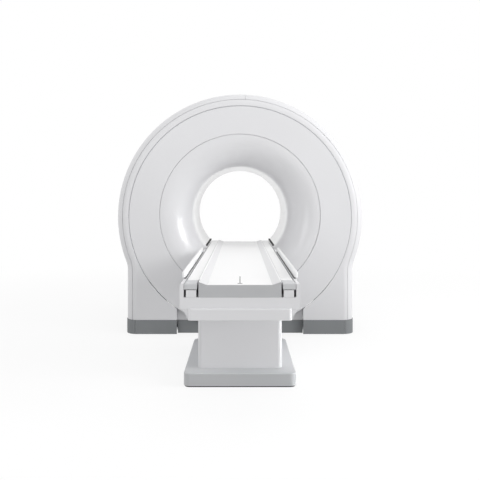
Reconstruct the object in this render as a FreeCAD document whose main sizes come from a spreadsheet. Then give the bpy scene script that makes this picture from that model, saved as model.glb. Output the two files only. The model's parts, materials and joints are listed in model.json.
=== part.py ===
import FreeCAD, Part
import math
import os
import re

import Sketcher

# Magnetic resonance scanner: a short-bore gantry with a patient table in front of it.
# Millimetres. The origin is on the floor under the middle of the bore; +Y is the way a patient
# goes in, +X is to the right of someone who looks into the bore, +Z is up.

SIZES = {
    # gantry shell
    "shell_radius": (1015, "outside of the round shell"),
    "shell_sink": (60, "how far the round shell would reach below the floor"),
    "shell_height": ("=shell_radius - shell_sink", "axis of the round shell above the floor"),
    "half_depth": (750, "half of the gantry's depth"),
    "bore_radius": (400, "patient bore"),
    "bore_rise": (20, "bore axis above the shell's axis"),
    "bore_height": ("=shell_height + bore_rise", "bore axis above the floor"),
    "rim_round": (96, "rounding of the shell's front and rear rims"),
    "skin": (8, "wall of the shell's covers"),
    "liner_wall": (6, "wall of the bore liner and the funnels"),
    "leg_inset": (82, "outside of a leg, inward from the shell's side"),
    "leg_half": ("=shell_radius - leg_inset", "outside of a leg from the middle"),
    "leg_inner": (516, "inside of a leg from the middle"),
    "leg_blend": (200, "blend between the round shell and a leg"),
    "ring_inset": (107, "seam around the ring cover, inward from the shell's side"),
    "ring_radius": ("=shell_radius - ring_inset", "seam around the ring cover"),
    "ring_foot": (106, "flat foot of the ring cover above the floor"),
    "seam": (4, "gap at a seam between covers"),
    "rim_seam": (52, "seam of the wrap covers, inward from the silhouette"),
    "top_seam_side": (45, "seam of the wrap covers at the top, right of the middle"),
    "funnel_flare": (254, "front funnel's radius of flare"),
    "liner_rear": (237, "rear end of the straight bore from the middle"),
    "rear_cone_rise": (40, "how far the rear cone opens"),
    "rear_flare": (150, "rear funnel's radius of flare"),
    "lip": (42, "flange of a funnel behind the ring cover"),
    "edge_round": (3, "small rounding of a cover's edge"),
    "seat": (0.3, "gap between pieces that sit on each other"),
    # plinth
    "plinth_height": (114, "top of the plinth above the floor"),
    "plinth_proud": (4, "how far the plinth stands out"),
    "plinth_wall": (12, "wall of the plinth"),
    "plinth_corner": (76, "seam of a front plinth, inward from the leg's side"),
    "plinth_gap": (5, "gap at a seam of the plinth"),
    "toe_recess": (42, "how far the toe panel and the centre plinth stand back"),
    "toe_top": (240, "top of the toe panel"),
    # cover frames
    "frame_wall": (6, "wall of a cover frame"),
    "frame_band": (190, "width of a cover frame, inward from the silhouette"),
    "frame_reach": (70, "depth of a cover frame"),
    "bracket_inset": (170, "circle of the frame brackets, inward from the shell's side"),
    "bracket_radius": (12, "radius of a frame bracket"),
    # floor plate and saddles
    "plate_half_x": (620, "half width of the floor plate"),
    "plate_half_y": (600, "half length of the floor plate"),
    "plate_wall": (20, "thickness of the floor plate"),
    "anchor_inset": (60, "anchor holes from the plate's edges"),
    "anchor_radius": (9, "anchor hole"),
    "saddle_half": (560, "half width of a magnet saddle"),
    "saddle_top": (265, "top of a magnet saddle above the floor"),
    "saddle_length": (120, "length of a magnet saddle"),
    "saddle_place": (430, "middle of a saddle from the middle of the magnet"),
    # magnet
    "magnet_inset": (135, "vacuum shell, inward from the round shell"),
    "magnet_radius": ("=shell_radius - magnet_inset", "outside of the vacuum shell"),
    "magnet_setback": (110, "end of the vacuum shell behind the gantry's face"),
    "magnet_half": ("=half_depth - magnet_setback", "half length of the vacuum shell"),
    "magnet_wrap": (100, "room around the bore for the coils"),
    "magnet_bore": ("=bore_radius + magnet_wrap", "inside of the vacuum bore tube"),
    "vacuum_wall": (10, "wall of the vacuum shell"),
    "shield_gap": (22, "gap from the vacuum shell to the thermal shield"),
    "shield_wall": (4, "wall of the thermal shield"),
    "vessel_gap": (16, "gap from the thermal shield to the helium vessel"),
    "vessel_wall": (8, "wall of the helium vessel"),
    "post_radius": (14, "support post of the cold mass"),
    "former_wall": (14, "wall of the coil former"),
    "coil_height": (58, "radial height of a main coil"),
    "shield_coil_height": (40, "radial height of a shield coil"),
    "inner_coil_near": (50, "near side of an inner coil from the middle"),
    "inner_coil_width": (70, "width of an inner coil"),
    "middle_coil_near": (210, "near side of a middle coil"),
    "middle_coil_width": (90, "width of a middle coil"),
    "outer_coil_inset": (80, "far side of an outer coil from the end of the vacuum shell"),
    "outer_coil_width": (120, "width of an outer coil"),
    "shield_coil_inset": (110, "far side of a shield coil from the end of the vacuum shell"),
    "shield_coil_width": (100, "width of a shield coil"),
    "body_coil_room": (52, "room around the bore for the body coil"),
    "gradient_inner": ("=bore_radius + body_coil_room", "inside of the gradient coil"),
    "gradient_inset": (85, "end of the gradient coil from the end of the vacuum shell"),
    "rf_half": (230, "half length of the body coil"),
    "turret_half": (110, "half width of the service turret"),
    "turret_place": (330, "middle of the turret from the middle of the magnet"),
    "turret_rise": (30, "turret above the vacuum shell"),
    "cold_head_radius": (62, "motor of the cold head"),
    "cold_head_rise": (44, "height of the cold head's motor"),
    # tabletop: its level follows from the bore, and its width sets the deck's
    "keel_rise": (55, "underside of the keel above the foot of the bore"),
    "keel_low": ("=bore_height - bore_radius + keel_rise", "underside of the keel"),
    "flat_half": (270, "half width of the cradle"),
    "flat_overhang": (68, "how far the cradle's flats reach past the keel"),
    "keel_half": ("=flat_half - flat_overhang", "half width of the cradle's keel"),
    "keel_chamfer": (20, "chamfer of the keel's lower edges"),
    "wing_chamfer": (30, "chamfer under the outer edge of a flat"),
    "flat_rise": (38, "underside of the cradle's flats above the keel's"),
    "flat_low": ("=keel_low + flat_rise", "underside of the cradle's flats"),
    "flat_thickness": (29.5, "thickness of the flats"),
    "flat_top": ("=flat_low + flat_thickness", "top of the flats"),
    "crest_rise": (4.9, "crest beside the channel above the flats"),
    "crest_foot": (10, "foot of the crest's outer slope from the keel's side"),
    "crest": ("=flat_top + crest_rise", "crest beside the channel"),
    "channel_depth": (13.7, "floor of the channel below the crest"),
    "channel_side": (44, "run of the channel's sloping side"),
    "slot_width": (7.5, "slot beside the end cap"),
    "slot_length": (115, "length of the slots"),
    "cap_length": (14, "length of the end cap"),
    "corner_round": (6, "rounding of a corner block's top edges"),
    # deck
    "deck_gap": (20, "gap from the gantry's face to the deck"),
    "deck_rear": ("=half_depth + deck_gap", "rear of the deck from the middle"),
    "deck_length": (1829, "length of the deck"),
    "deck_front": ("=deck_rear + deck_length", "front of the deck from the middle"),
    "cradle_length": (2699, "length of the cradle with its end cap"),
    "cradle_rear": ("=deck_front - cradle_length", "rear of the cradle, in front of the middle"),
    "side_gap": (4, "gap between the cradle and the deck's side walls"),
    "deck_wall": (20, "side wall of the deck"),
    "deck_half": ("=flat_half + side_gap + deck_wall", "half width of the deck"),
    "deck_floor": (10, "floor of the deck"),
    "wall_drop": (2.5, "top of the side walls below the cradle's flats"),
    "deck_top": ("=flat_top - wall_drop", "top of the deck's side walls"),
    "deck_round": (16, "rounding of the deck's lower edges"),
    "wall_round": (9, "rounding of the side walls' upper edges"),
    "track_gap": (11, "gap between the keel and a track"),
    "track_inset": (7, "outer face of a track, inward from the cradle's side"),
    "glide": (2.7, "thickness of the glide strips, with their seat"),
    "glide_inset": (8, "edges of a glide strip from the track's edges"),
    "bar_width": (18, "width of a side bar"),
    "bar_proud": (7, "how far a side bar stands out past the deck"),
    "bar_height": (36, "top of a side bar above the side wall"),
    "bar_round": (7.2, "rounding of a side bar's top edges"),
    "bar_foot": (5, "black strip under a side bar, with its seat"),
    "strip_width": (10.5, "width of the strip under a side bar"),
    "strip_inset": (4, "outer edge of the strip, inward from the deck's side"),
    "bar_front": (179, "front of a side bar from the deck's front"),
    "bar_rear": (257, "rear of a side bar from the deck's rear"),
    # cradle drive
    "pulley_radius": (17, "drive and idler pulleys"),
    "belt_wall": (3, "thickness of the belt"),
    "belt_width": (24, "width of the belt"),
    "pulley_inset_front": (99, "idler pulley from the deck's front"),
    "pulley_inset_rear": (110, "drive pulley from the deck's rear"),
    "axle_radius": (5, "axle of a pulley"),
    "axle_cheek": (4, "thickness of a pulley bracket's cheeks"),
    "clamp_wall": (6.1, "thickness of the belt clamp"),
    "clamp_place": (100, "front of the belt clamp behind the idler pulley"),
    "clamp_length": (70, "length of the belt clamp"),
    "motor_length": (120, "length of the drive motor"),
    "belt_room": ("=clamp_wall + 2 * (pulley_radius + belt_wall) + seam + 3 * seat",
                  "room under the keel for the belt"),
    "deck_low": ("=keel_low - belt_room - deck_floor", "underside of the deck"),
    # tray
    "tray_inset": (41, "side of the tray, inward from the deck's side"),
    "tray_depth": (49, "height of the tray below the deck"),
    "tray_lip": (15, "lip of the tray in front of the deck"),
    "tray_lip_rise": (9, "top of the tray's lip above the deck's underside"),
    "tray_inset_rear": (30, "rear of the tray from the deck's rear"),
    "tray_corner": (18, "corners of the tray"),
    "tray_round": (6, "rounding of the lip's top edge"),
    # bore bridge and seals
    "bridge_inset": (60, "front of the bore bridge behind the gantry's face"),
    "seal_gap": (12, "gap between the cradle and a seal"),
    "seal_sink": (3.5, "lower edge of the bore seals below the cradle's flats"),
    "seal_height": (12, "height of the bore seals"),
    # table base and pedestal
    "base_gap": (466, "gap from the gantry's face to the table base"),
    "base_rear": ("=half_depth + base_gap", "rear of the table base from the middle"),
    "base_length": (817, "length of the table base"),
    "base_front": ("=base_rear + base_length", "front of the table base from the middle"),
    "base_half": (333, "half width of the table base"),
    "base_height": (84, "top of the table base"),
    "base_corner": (38, "corner of the table base"),
    "base_edge": (9, "rounding of the base's top edge"),
    "base_foot": (7, "dark foot under the base cover"),
    "cover_wall": (5, "wall of the table's covers"),
    "pedestal_inset_front": (96, "front of the pedestal from the base's front"),
    "pedestal_inset_rear": (114, "rear of the pedestal from the base's rear"),
    "pedestal_front": ("=base_front - pedestal_inset_front", "front of the pedestal from the middle"),
    "pedestal_rear": ("=base_rear + pedestal_inset_rear", "rear of the pedestal from the middle"),
    "pedestal_inset": (40, "side of the pedestal, inward from the deck's side"),
    "pedestal_half": ("=deck_half - pedestal_inset", "half width of the pedestal"),
    "pedestal_round": (24, "rounding of the pedestal's upright edges"),
    "pedestal_top": ("=deck_low - tray_depth", "top of the pedestal"),
    # lift
    "lift_place": ("=(pedestal_front + pedestal_rear) / 2", "lift axis from the middle"),
    "column_half": (120, "half width of the lift column"),
    "column_wall": (10, "wall of the lift column"),
    "column_drop": (40, "top of the lift column below the pedestal's top"),
    "guide_gap": (4, "gap between the lift column and the lift tube"),
    "tube_foot": (200, "foot of the lift tube"),
    "nut_wall": (24, "thickness of the nut plate at the tube's foot"),
    "screw_radius": (14, "lift screw"),
    "screw_drop": (80, "top of the lift screw below the pedestal's top"),
    "drive_top": (75, "top of the lift drive's gear case"),
    "motor_radius": (27, "lift motor"),
    "motor_side": (60, "lift motor from the screw"),
    "motor_top": (186, "top of the lift motor"),
    "sleeve_gap": (3, "gap between the pedestal and the column sleeve"),
    "sleeve_foot": (300, "foot of the column sleeve"),
}

V = FreeCAD.Vector
doc = FreeCAD.newDocument("MriScanner")
sheet = doc.addObject("Spreadsheet::Sheet", "Sizes")
for row, (alias, (value, note)) in enumerate(SIZES.items(), 1):
    sheet.set(f"A{row}", note)
    sheet.set(f"B{row}", str(value))
    sheet.setAlias(f"B{row}", alias)
doc.recompute()

NODES = []     # the objects that are written out, in order


# ---- formulas, and ways to make a piece ----

def bound(text):
    # the formula with each size read from the sheet
    return re.sub(r"[a-z_]+", lambda word: ("Sizes." if word.group() in SIZES else "") + word.group(), text)


def number(text):
    return float(sheet.evalExpression(text))


def bind(thing, **formulas):
    # each formula drives the property of that name; "Base_x" and the like place the object
    for name, text in formulas.items():
        path = "Placement.Base." + name[-1] if name.startswith("Base_") else name
        thing.setExpression(path, bound(text))


def node(thing, name):
    thing.Label = name
    NODES.append(thing)
    return thing


def origin_part(body, role):
    return next(feature for feature in body.Origin.OriginFeatures if feature.Role == role)


def draw(body, role, name, corners):
    # A closed outline. A corner is (u, v), or (u, v, arc centre u, arc centre v) when a short arc
    # leads to the next corner. Each corner and centre is tied to the sheet.
    sketch = body.newObject("Sketcher::SketchObject", name)
    sketch.AttachmentSupport = [(origin_part(body, role), "")]
    sketch.MapMode = "FlatFace"
    points = [V(number(corner[0]), number(corner[1]), 0) for corner in corners]
    pieces = []
    for index, corner in enumerate(corners):
        start, end = points[index], points[(index + 1) % len(points)]
        if len(corner) == 2:
            pieces.append((sketch.addGeometry(Part.LineSegment(start, end), False), 1, 2))
            continue
        centre = V(number(corner[2]), number(corner[3]), 0)
        turn = [math.atan2(point.y - centre.y, point.x - centre.x) for point in (start, end)]
        forward = (start - centre).cross(end - centre).z > 0
        low, high = turn if forward else turn[::-1]
        circle = Part.Circle(centre, V(0, 0, 1), (start - centre).Length)
        arc = Part.ArcOfCircle(circle, low, high if high > low else high + 2 * math.pi)
        pieces.append((sketch.addGeometry(arc, False),) + ((1, 2) if forward else (2, 1)))

    def tie(kind, piece, point, text):
        row = sketch.addConstraint(Sketcher.Constraint(kind, -1, 1, piece, point, number(text)))
        sketch.setExpression(f"Constraints[{row}]", bound(text))

    for index, (piece, start, end) in enumerate(pieces):
        following = pieces[(index + 1) % len(pieces)]
        sketch.addConstraint(Sketcher.Constraint("Coincident", piece, end, following[0], following[1]))
    for index, (corner, (piece, start, end)) in enumerate(zip(corners, pieces)):
        tie("DistanceX", piece, start, corner[0])
        tie("DistanceY", piece, start, corner[1])
        if len(corner) == 4:
            across = points[(index + 1) % len(points)] - points[index]
            if abs(across.y) >= abs(across.x):
                tie("DistanceX", piece, 3, corner[2])
            else:
                tie("DistanceY", piece, 3, corner[3])
    return sketch


def turned(name, corners, height="bore_height"):
    # a ring turned about an axis along Y at that height; corners are (place along Y, radius)
    body = doc.addObject("PartDesign::Body", name.title().replace("_", ""))
    turn = body.newObject("PartDesign::Revolution", body.Name + "Turn")
    turn.Profile = draw(body, "YZ_Plane", body.Name + "Outline", corners)
    turn.ReferenceAxis = (turn.Profile[0], ["H_Axis"])
    turn.Angle = 360
    body.Tip = turn
    bind(body, Base_z=height)
    return body


def tube(name, inner, outer, low, high, height="bore_height"):
    return turned(name, [(low, inner), (high, inner), (high, outer), (low, outer)], height)


def extruded(name, role, corners, low, high):
    # an outline drawn on an origin plane and padded from low to high along the plane's normal
    body = doc.addObject("PartDesign::Body", name.title().replace("_", ""))
    pad = body.newObject("PartDesign::Pad", body.Name + "Pad")
    pad.Profile = draw(body, role, body.Name + "Outline", corners)
    bind(pad, Length=f"({high}) - ({low})")
    body.Tip = pad
    axis, sign = {"XY_Plane": ("Base_z", ""), "XZ_Plane": ("Base_y", "-"), "YZ_Plane": ("Base_x", "")}[role]
    # an outline on the XZ plane pads towards -Y, so its low and high are counted that way
    bind(body, **{axis: f"{sign}({low})"})
    return body


def block(name, x_low, x_high, y_low, y_high, z_low, z_high):
    thing = doc.addObject("Part::Box", name.title().replace("_", ""))
    bind(thing, Length=f"({x_high}) - ({x_low})", Width=f"({y_high}) - ({y_low})",
         Height=f"({z_high}) - ({z_low})", Base_x=x_low, Base_y=y_low, Base_z=z_low)
    return thing


TURNS = {
    "X": FreeCAD.Rotation(V(0, 1, 0), 90),
    "Y": FreeCAD.Rotation(V(1, 0, 0), -90),
    "Z": FreeCAD.Rotation(),
}


def rod(name, axis, radius, length, x, y, z):
    # a cylinder that starts at (x, y, z) and runs along the axis
    thing = doc.addObject("Part::Cylinder", name.title().replace("_", ""))
    thing.Placement = FreeCAD.Placement(V(), TURNS[axis])
    bind(thing, Radius=radius, Height=length, Base_x=x, Base_y=y, Base_z=z)
    return thing


def cut(name, base, *tools):
    thing = doc.addObject("Part::Cut", name.title().replace("_", ""))
    thing.Base = base
    if len(tools) > 1:
        group = doc.addObject("Part::MultiFuse", thing.Name + "Tools")
        group.Shapes = list(tools)
        tools = [group]
    thing.Tool = tools[0]
    return thing


def joined(name, *things):
    thing = doc.addObject("Part::MultiFuse", name.title().replace("_", ""))
    thing.Shapes = list(things)
    return thing


def shared(name, *things):
    thing = doc.addObject("Part::MultiCommon", name.title().replace("_", ""))
    thing.Shapes = list(things)
    return thing


def group(name, *things):
    # separate solids under one name
    thing = doc.addObject("Part::Compound", name.title().replace("_", ""))
    thing.Links = list(things)
    return thing


def mirrored(name, source, normal=V(1, 0, 0)):
    thing = doc.addObject("Part::Mirroring", name.title().replace("_", ""))
    thing.Source = source
    thing.Normal = normal
    return thing


def rounded(name, base, radius, wanted):
    # rounds the edges that the test picks from the base's shape
    doc.recompute()
    thing = doc.addObject("Part::Fillet", name.title().replace("_", ""))
    thing.Base = base
    size = number(radius)
    thing.Edges = [(row, size, size) for row, edge in enumerate(base.Shape.Edges, 1) if wanted(edge)]
    return thing


def upright(edge):
    ends = [vertex.Point for vertex in edge.Vertexes]
    return len(ends) == 2 and abs(ends[0].z - ends[1].z) > 1 and (ends[0] - ends[1]).Length - \
        abs(ends[0].z - ends[1].z) < 1e-6


def level_at(height):
    return lambda edge: edge.BoundBox.ZLength < 1e-6 and abs(edge.BoundBox.ZMin - height) < 1e-6


def circle_at(place, *radii):
    # circles of those radii, and arcs of them, in the plane Y = place
    sizes = [number(radius) for radius in radii]
    return lambda edge: isinstance(edge.Curve, Part.Circle) and abs(edge.Curve.Center.y - place) < 1e-3 and \
        min(abs(edge.Curve.Radius - size) for size in sizes) < 1e-3


# ---- the shell's silhouette, used at several insets ----

def silhouette(name, inset, low, high, foot):
    # Legs with upright sides run into a round shell through a blend. The blend's centre stands
    # outside the leg, level with the top of its upright side.
    leg = f"(leg_half - ({inset}))"
    blend = f"(leg_blend + ({inset}))"
    shell = f"(shell_radius - ({inset}))"
    side = f"({leg} + {blend})"
    reach = f"({shell} + {blend})"
    drop = f"sqrt({reach}^2 - {side}^2)"
    meet_x = f"({side} * {shell} / {reach})"
    meet_z = f"(shell_height - {drop} * {shell} / {reach})"
    level = f"(shell_height - {drop})"
    return extruded(name, "XZ_Plane", [
        (f"-{leg}", foot),
        (f"-{leg}", level, f"-{side}", level),
        (f"-{meet_x}", meet_z, "0", "shell_height"),
        (f"-{shell}", "shell_height", "0", "shell_height"),
        ("0", f"shell_height + {shell}", "0", "shell_height"),
        (shell, "shell_height", "0", "shell_height"),
        (meet_x, meet_z, side, level),
        (leg, level),
        (leg, foot),
    ], low, high)


def soft_silhouette(name, inset, foot):
    # the same over the whole depth, with its front and rear rims rounded
    body = silhouette(name, inset, f"-(half_depth - ({inset}))", f"half_depth - ({inset})", foot)
    doc.recompute()
    pad = body.Tip
    rims = [f"Edge{row}" for row, edge in enumerate(pad.Shape.Edges, 1)
            if edge.BoundBox.YLength < 1e-6 and edge.BoundBox.ZLength > 1e-6]
    soft = body.newObject("PartDesign::Fillet", body.Name + "Rims")
    soft.Base = (pad, rims)
    bind(soft, Radius=f"rim_round - ({inset})")
    body.Tip = soft
    return body


# ---- gantry covers ----

outside = soft_silhouette("outside", "0", "plinth_height")
inside = soft_silhouette("inside", "skin", "plinth_height - plinth_wall")
shell = cut("shell_wall", outside, inside)
beyond = "half_depth + plinth_wall"
rim_start = "half_depth - rim_round"


def seam_block(name, inset, sign):
    # reaches in from beyond the front (sign -1) or rear (sign 1) face, inside that inset
    low, high = (rim_start, beyond) if sign < 0 else (f"-({beyond})", f"-({rim_start})")
    return silhouette(name, inset, low, high, "plinth_height - plinth_wall")


def disc(name, radius, height, sign, deep="skin"):
    # a round plate behind the front (sign -1) or rear (sign 1) plane, with axis at that height
    low = "-half_depth" if sign < 0 else f"half_depth - {deep}"
    return rod(name, "Y", radius, deep, "0", low, height)


def surround(name, sign):
    # the plate outside the ring seam; the tool that opens it leaves a rounded edge
    plate = shared(name + "_plate", shell, seam_block(name + "_line", "rim_seam + seam / 2", sign))
    way = "-" if sign < 0 else ""
    edge, wide = "(ring_radius + seam / 2)", "(ring_radius + seam / 2 + edge_round)"
    tool = turned(name + "_tool", [
        (f"{way}(half_depth + seam)", "0"),
        (f"{way}(half_depth + seam)", wide),
        (f"{way}half_depth", wide, f"{way}(half_depth - edge_round)", wide),
        (f"{way}(half_depth - edge_round)", edge),
        (f"{way}(half_depth - rim_round)", edge),
        (f"{way}(half_depth - rim_round)", "0"),
    ], "shell_height")
    return cut(name + "_opened", plate, tool)


def ring_cover(name, sign, mouth, foot):
    plate = cut(name + "_plate", disc(name + "_disc", "ring_radius - seam / 2", "shell_height", sign),
                disc(name + "_mouth", mouth, "bore_height", sign))
    soft = rounded(name + "_soft", plate, "edge_round",
                   circle_at(sign * number("half_depth"), "ring_radius - seam / 2", mouth))
    below = block(name + "_below", "-ring_radius", "ring_radius", "-half_depth - seam", "half_depth + seam",
                  "0 - ring_radius", foot)
    return cut(name, soft, below)


between_legs = block("between_legs", "-leg_inner", "leg_inner", f"-({beyond})", beyond, "0", "shell_height")
leg_front = cut("leg_front", surround("front_surround", -1), between_legs)
return_top = "shell_height - sqrt((ring_radius + seam / 2)^2 - leg_inner^2)"
returns = [block(f"leg_return_{side}", low, high, "-(half_depth - skin)",
                 "-(half_depth - toe_recess - skin)", "plinth_height", return_top)
           for side, low, high in (("left", "-(leg_inner + skin)", "-leg_inner"),
                                   ("right", "leg_inner", "leg_inner + skin"))]
node(joined("front_surround_whole", leg_front, *returns), "front_surround")
node(cut("leg_rear", surround("rear_surround", 1), between_legs), "rear_surround")
node(ring_cover("front_ring", -1, "bore_radius + funnel_flare + seam", "ring_foot"), "front_ring_cover")
# the rear ring cover also closes the gap between the legs, with no recess
rear_disc = ring_cover("rear_ring", 1, "bore_radius + rear_cone_rise + rear_flare + seam",
                       "plinth_height + seat")
rear_foot = block("rear_foot", "-(leg_inner - seam)", "leg_inner - seam", "half_depth - skin", "half_depth",
                  "plinth_height + seat", f"{return_top} - seam")
node(joined("rear_ring_whole", rear_disc, rear_foot), "rear_ring_cover")

wrap = cut("wrap", shell, seam_block("front_cut", "rim_seam", -1), seam_block("rear_cut", "rim_seam", 1))
for side, low, high in (("left", "top_seam_side - seam / 4", "shell_radius + seam"),
                        ("right", "-(shell_radius + seam)", "top_seam_side + seam / 4")):
    other = block(f"wrap_{side}_off", low, high, f"-({beyond})", beyond, "0",
                  "shell_height + shell_radius + seam")
    node(cut(f"wrap_{side}", wrap, other), f"side_cover_{side}")

# the front funnel: a quarter round that runs from the ring cover into the bore, with a flange
mouth = "bore_radius + funnel_flare"
throat = "funnel_flare - half_depth"
flange_front = "half_depth - skin - seat"
flange_back = "half_depth - skin - seat - liner_wall"
back_turn = "funnel_flare - skin - seat - liner_wall"
node(turned("front_funnel", [
    ("-half_depth", mouth, throat, mouth),
    (throat, "bore_radius"),
    (throat, "bore_radius + liner_wall", throat, mouth),
    (f"-({flange_back})", f"{mouth} - sqrt((funnel_flare - liner_wall)^2 - ({back_turn})^2)"),
    (f"-({flange_back})", f"{mouth} + lip"),
    (f"-({flange_front})", f"{mouth} + lip"),
    (f"-({flange_front})", mouth),
]), "front_funnel")
node(tube("bore_liner", "bore_radius", "bore_radius + liner_wall", f"{throat} + seat", "liner_rear - seat"),
     "bore_liner")

# the rear funnel: a slow cone and a short flare
cone_end = "half_depth - rear_flare"
cone_top = "bore_radius + rear_cone_rise"
rear_mouth = "bore_radius + rear_cone_rise + rear_flare"
rear_turn = "rear_flare - skin - seat - liner_wall"
rear_back = f"{rear_mouth} - sqrt((rear_flare - liner_wall)^2 - ({rear_turn})^2)"
node(turned("rear_funnel", [
    ("liner_rear", "bore_radius"),
    (cone_end, cone_top, cone_end, rear_mouth),
    ("half_depth", rear_mouth),
    (flange_front, rear_mouth),
    (flange_front, f"{rear_mouth} + lip"),
    (flange_back, f"{rear_mouth} + lip"),
    (flange_back, rear_back, cone_end, rear_mouth),
    (cone_end, f"{cone_top} + liner_wall"),
    ("liner_rear", "bore_radius + liner_wall"),
]), "rear_funnel")

toe_back = "half_depth - toe_recess - skin"
toe_front = "half_depth - toe_recess"
node(block("toe_panel", "-(leg_inner - seat)", "leg_inner - seat", f"-({toe_front})", f"-({toe_back})",
           "ring_foot", "toe_top"), "toe_panel")

# ---- plinth: a ring of kick panels under the covers, divided at seams ----


def plinth_block(name, inset, low, high):
    across = f"(leg_half + plinth_proud - ({inset}))"
    deep = f"(half_depth + plinth_proud - ({inset}))"
    whole = block(name, f"-{across}", across, f"-{deep}", deep, low, high)
    return rounded(name + "_soft", whole, f"rim_round - ({inset})", upright)


plinth_top = "plinth_height - seat"
plinth = cut("plinth_ring", plinth_block("plinth_out", "0", "0", plinth_top),
             plinth_block("plinth_in", "plinth_wall", "-seam", "plinth_height"))
far = "leg_half + rim_round"
deep = "half_depth + rim_round"
seam_at = "(leg_half - plinth_corner)"
half_gap = "plinth_gap / 2"


def plinth_piece(name, x_low, x_high, y_low, y_high):
    node(shared(name + "_cut", plinth, block(name + "_zone", x_low, x_high, y_low, y_high, "-seam",
                                             "plinth_height")), name)


plinth_piece("plinth_side_left", f"-({far})", f"-({seam_at})", f"-({deep})", deep)
plinth_piece("plinth_side_right", seam_at, far, f"-({deep})", deep)
inner_seam = f"-({seam_at} - {half_gap})"
plinth_piece("plinth_front_left", inner_seam, "-leg_inner", f"-({deep})", "0")
plinth_piece("plinth_front_right", "leg_inner", f"{seam_at} - {half_gap}", f"-({deep})", "0")
plinth_piece("plinth_rear", inner_seam, f"{seam_at} - {half_gap}", "0", deep)
node(block("plinth_centre_block", "-(leg_inner - plinth_gap)", "leg_inner - seat",
           f"-({toe_front} + plinth_proud)", f"-({toe_back})", "0", "ring_foot - seat"), "plinth_centre")

# ---- cover frames, and the brackets that carry them from the magnet ----

frame_inset = "skin + seat"
frame_out = soft_silhouette("frame_outside", frame_inset, "plinth_height")
frame_in = soft_silhouette("frame_inside", f"{frame_inset} + frame_wall", "plinth_height - plinth_wall")
frame_hole = silhouette("frame_hole", "frame_band", f"-({beyond})", beyond, "plinth_height - plinth_wall")
frame_shell = cut("frame_shell", frame_out, frame_in, frame_hole)
for end, low, high in (("front", f"-({beyond})", "-(half_depth - frame_reach)"),
                       ("rear", "half_depth - frame_reach", beyond)):
    zone = block(f"frame_{end}_zone", f"-({far})", far, low, high, "0", "shell_height + shell_radius")
    node(shared(f"frame_{end}", frame_shell, zone), f"{end}_cover_frame")

BRACKET_TURNS = (20, 90, 160, 200, 340)      # degrees around the shell, from +X
brackets = []
bracket_out = f"{flange_front} - frame_wall - seat"
bracket_circle = "(shell_radius - bracket_inset)"
bracket_length = f"{bracket_out} - magnet_half - seat"
for end, start in (("front", f"-({bracket_out})"), ("rear", "magnet_half + seat")):
    for turn in BRACKET_TURNS:
        brackets.append(rod(f"bracket_{end}_{turn}", "Y", "bracket_radius", bracket_length,
                            f"{bracket_circle} * cos({turn})", start,
                            f"shell_height + {bracket_circle} * sin({turn})"))
node(group("brackets", *brackets), "frame_brackets")

# ---- floor plate and saddles ----

anchors = [rod(f"anchor_{x}{y}".replace("-", "m"), "Z", "anchor_radius", "plate_wall + 2 * seam",
               f"{x} * (plate_half_x - anchor_inset)", f"{y} * (plate_half_y - anchor_inset)", "-seam")
           for x in (-1, 1) for y in (-1, 1)]
node(cut("plate", block("plate_whole", "-plate_half_x", "plate_half_x", "-plate_half_y", "plate_half_y",
                        "0", "plate_wall"), *anchors), "floor_plate")
magnet_room = rod("magnet_room", "Y", "magnet_radius + seat", "2 * half_depth", "0", "-half_depth",
                  "bore_height")
saddles = []
for end, sign in (("front", -1), ("rear", 1)):
    middle = f"{sign} * saddle_place"
    whole = block(f"saddle_{end}_whole", "-saddle_half", "saddle_half", f"{middle} - saddle_length / 2",
                  f"{middle} + saddle_length / 2", "plate_wall + seat", "saddle_top")
    saddles.append(cut(f"saddle_{end}", whole, magnet_room))
node(group("saddles", *saddles), "magnet_saddles")

# ---- magnet: vacuum shell, thermal shield and helium vessel are channels closed by bore tubes ----


def channel_ring(name, inner, outer, half, wall):
    return turned(name, [
        (f"-({half})", inner), (f"-({half})", outer), (half, outer), (half, inner),
        (f"{half} - {wall}", inner), (f"{half} - {wall}", f"{outer} - {wall}"),
        (f"-({half} - {wall})", f"{outer} - {wall}"), (f"-({half} - {wall})", inner),
    ])


vacuum_bore = "magnet_bore + vacuum_wall"
shield_bore = f"{vacuum_bore} + shield_gap"
shield_out = "magnet_radius - vacuum_wall - shield_gap"
shield_half = "magnet_half - vacuum_wall - shield_gap"
vessel_bore = f"{shield_bore} + shield_wall + vessel_gap"
vessel_out = f"{shield_out} - shield_wall - vessel_gap"
vessel_half = f"{shield_half} - shield_wall - vessel_gap"
vacuum_channel = channel_ring("vacuum_shell", f"{vacuum_bore} + seat", "magnet_radius", "magnet_half",
                              "vacuum_wall")
node(vacuum_channel, "vacuum_shell")
node(tube("vacuum_bore_tube", "magnet_bore", vacuum_bore, "-magnet_half", "magnet_half"),
     "vacuum_bore_tube")
shield_channel = channel_ring("thermal_shield", f"{shield_bore} + shield_wall + seat", shield_out,
                              shield_half, "shield_wall")
node(shield_channel, "thermal_shield")
node(tube("thermal_shield_bore", shield_bore, f"{shield_bore} + shield_wall", f"-({shield_half})",
          shield_half), "thermal_shield_bore")
vessel_channel = channel_ring("helium_vessel", f"{vessel_bore} + vessel_wall + seat", vessel_out, vessel_half,
                              "vessel_wall")
node(vessel_channel, "helium_vessel")
node(tube("helium_bore_tube", vessel_bore, f"{vessel_bore} + vessel_wall", f"-({vessel_half})",
          vessel_half), "helium_bore_tube")

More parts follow.
